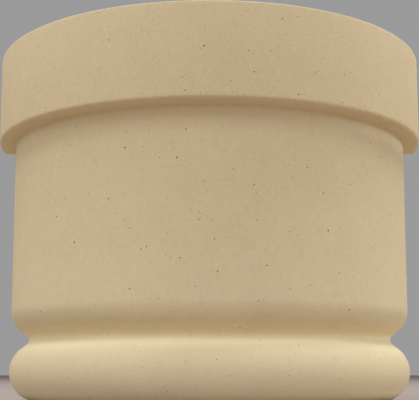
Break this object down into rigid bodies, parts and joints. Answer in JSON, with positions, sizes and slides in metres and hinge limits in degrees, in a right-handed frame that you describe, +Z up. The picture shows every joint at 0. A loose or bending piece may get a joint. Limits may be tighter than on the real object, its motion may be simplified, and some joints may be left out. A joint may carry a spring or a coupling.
{
  "type": "half-round column capital",
  "caption": "Half-round cast stone column capital with a plain wide band, a straight neck, a groove and a rounded astragal, cut flat at the back and at both beds.",
  "frame": {"origin": "on the bottom bed, at the middle of the overall footprint; the column's axis stands 82.5 mm behind it, in the flat back", "axes": "+X to the right along the flat back as seen from the round front, +Y out of the flat back so that the round front faces -Y, +Z up towards the top bed"},
  "size_m": [0.33, 0.165, 0.2611],
  "materials": {
    "cast_stone": "smooth fine sand-textured cast stone in pale buff, matt, with scattered small air holes"
  },
  "bodies": {
    "root": {"half_round_capital": "cast_stone"}
  },
  "joints": []
}
